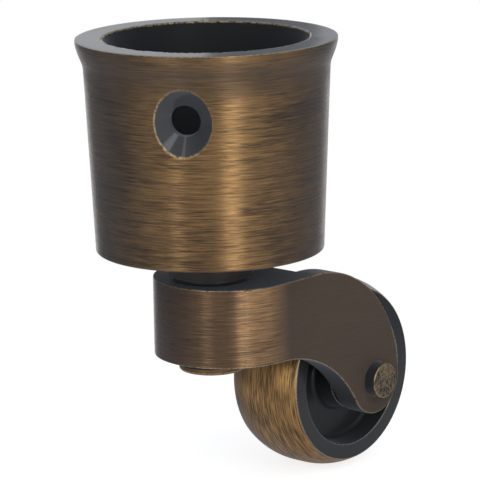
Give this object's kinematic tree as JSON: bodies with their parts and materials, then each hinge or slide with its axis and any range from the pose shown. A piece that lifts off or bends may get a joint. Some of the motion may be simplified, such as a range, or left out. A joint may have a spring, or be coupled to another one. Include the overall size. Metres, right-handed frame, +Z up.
{
  "type": "cup castor",
  "caption": "Cup castor for a furniture leg: a flared socket cup with countersunk side screw holes, over a swivelling goose-neck horn that carries a solid wheel.",
  "frame": {"origin": "centre of the floor inside the cup, where the end of the furniture leg stands, on the swivel axis", "axes": "+Z up the swivel axis, out of the cup's mouth; +X the way the wheel trails; the wheel's axle lies along Y"},
  "size_m": [0.0639, 0.0416, 0.0756],
  "materials": {
    "cup_brass": "antiqued brass, brushed round the cup",
    "horn_brass": "antiqued brass, lightly brushed, darker on the flat cheeks",
    "wheel_brass": "antiqued brass, brushed round the tread, blackened in the recesses",
    "pin_brass": "antiqued brass, grainy ends",
    "washer_steel": "blackened steel"
  },
  "bodies": {
    "cup": {"cup": "cup_brass", "swivel_pin": "pin_brass", "thrust_washer": "washer_steel", "head_washer": "washer_steel"},
    "horn": {"horn": "horn_brass", "axle_pin": "pin_brass"},
    "wheel": {"wheel": "wheel_brass"}
  },
  "joints": [
    {"name": "swivel", "type": "hinge", "parent": "cup", "child": "horn", "pos_m": [0, 0, -0.00925], "axis": [0, 0, 1], "continuous": true},
    {"name": "wheel_spin", "type": "hinge", "parent": "horn", "child": "wheel", "pos_m": [0.0271, 0, -0.0297], "axis": [0, 1, 0], "continuous": true}
  ]
}
